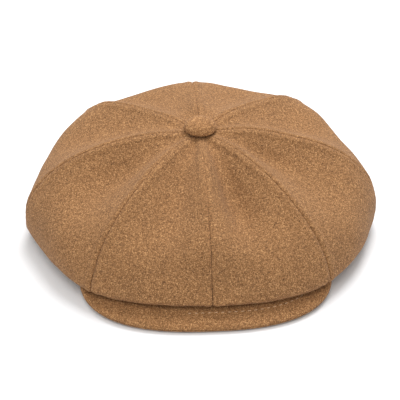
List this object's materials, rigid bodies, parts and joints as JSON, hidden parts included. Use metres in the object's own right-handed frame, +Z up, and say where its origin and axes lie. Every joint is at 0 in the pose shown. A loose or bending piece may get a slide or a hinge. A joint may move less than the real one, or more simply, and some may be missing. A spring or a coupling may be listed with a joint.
{
  "type": "newsboy cap",
  "caption": "Soft newsboy cap: paneled wool crown gathered to a head band, covered button on top, short stiff brim, lined inside.",
  "frame": {"origin": "floor level under the middle of the bounding box, with the cap standing on its brim tip and the rear edge of its band", "axes": "+Z up, -Y towards the brim (front), +X towards the wearer's left"},
  "size_m": [0.3016, 0.2688, 0.1067],
  "materials": {
    "wool": "brushed wool melton, heathered camel brown",
    "lining": "smooth satin, dark brown",
    "sweatband": "cotton twill, brown",
    "elastic": "ribbed woven elastic, dark brown",
    "buckram": "stiff open woven buckram",
    "visor_plastic": "matte polyethylene sheet",
    "button_metal": "pressed sheet, bare",
    "thread": "twisted sewing thread",
    "label": "plain woven tape, blank"
  },
  "bodies": {
    "cap": {"outer_band": "wool", "band_stiffener": "buckram", "sweatband": "sweatband", "sweatband_elastic": "elastic", "crown_panel_1": "wool", "crown_panel_2": "wool", "crown_panel_3": "wool", "crown_panel_4": "wool", "crown_panel_5": "wool", "crown_panel_6": "wool", "crown_panel_7": "wool", "crown_panel_8": "wool", "lining_panel_1": "lining", "lining_panel_2": "lining", "lining_panel_3": "lining", "lining_panel_4": "lining", "lining_panel_5": "lining", "lining_panel_6": "lining", "lining_panel_7": "lining", "lining_panel_8": "lining", "button_cover": "wool", "button_shell": "button_metal", "button_back": "button_metal", "button_thread": "thread", "maker_label": "label", "size_label": "label"},
    "brim": {"brim_top_cover": "wool", "brim_board": "visor_plastic", "brim_under_cover": "wool"},
    "care_label": {"care_label": "label"}
  },
  "joints": [
    {"name": "brim_flex", "type": "hinge", "parent": "cap", "child": "brim", "pos_m": [-0.0012, -0.09864, 0.01511], "axis": [1, 0, 0], "range_deg": [-4, 8], "stiffness_Nm_per_rad": 1},
    {"name": "care_label_flip", "type": "hinge", "parent": "cap", "child": "care_label", "pos_m": [0.08115, 0.00758, 0.03495], "axis": [0, 0.9984, -0.0574], "range_deg": [0, 150]}
  ]
}
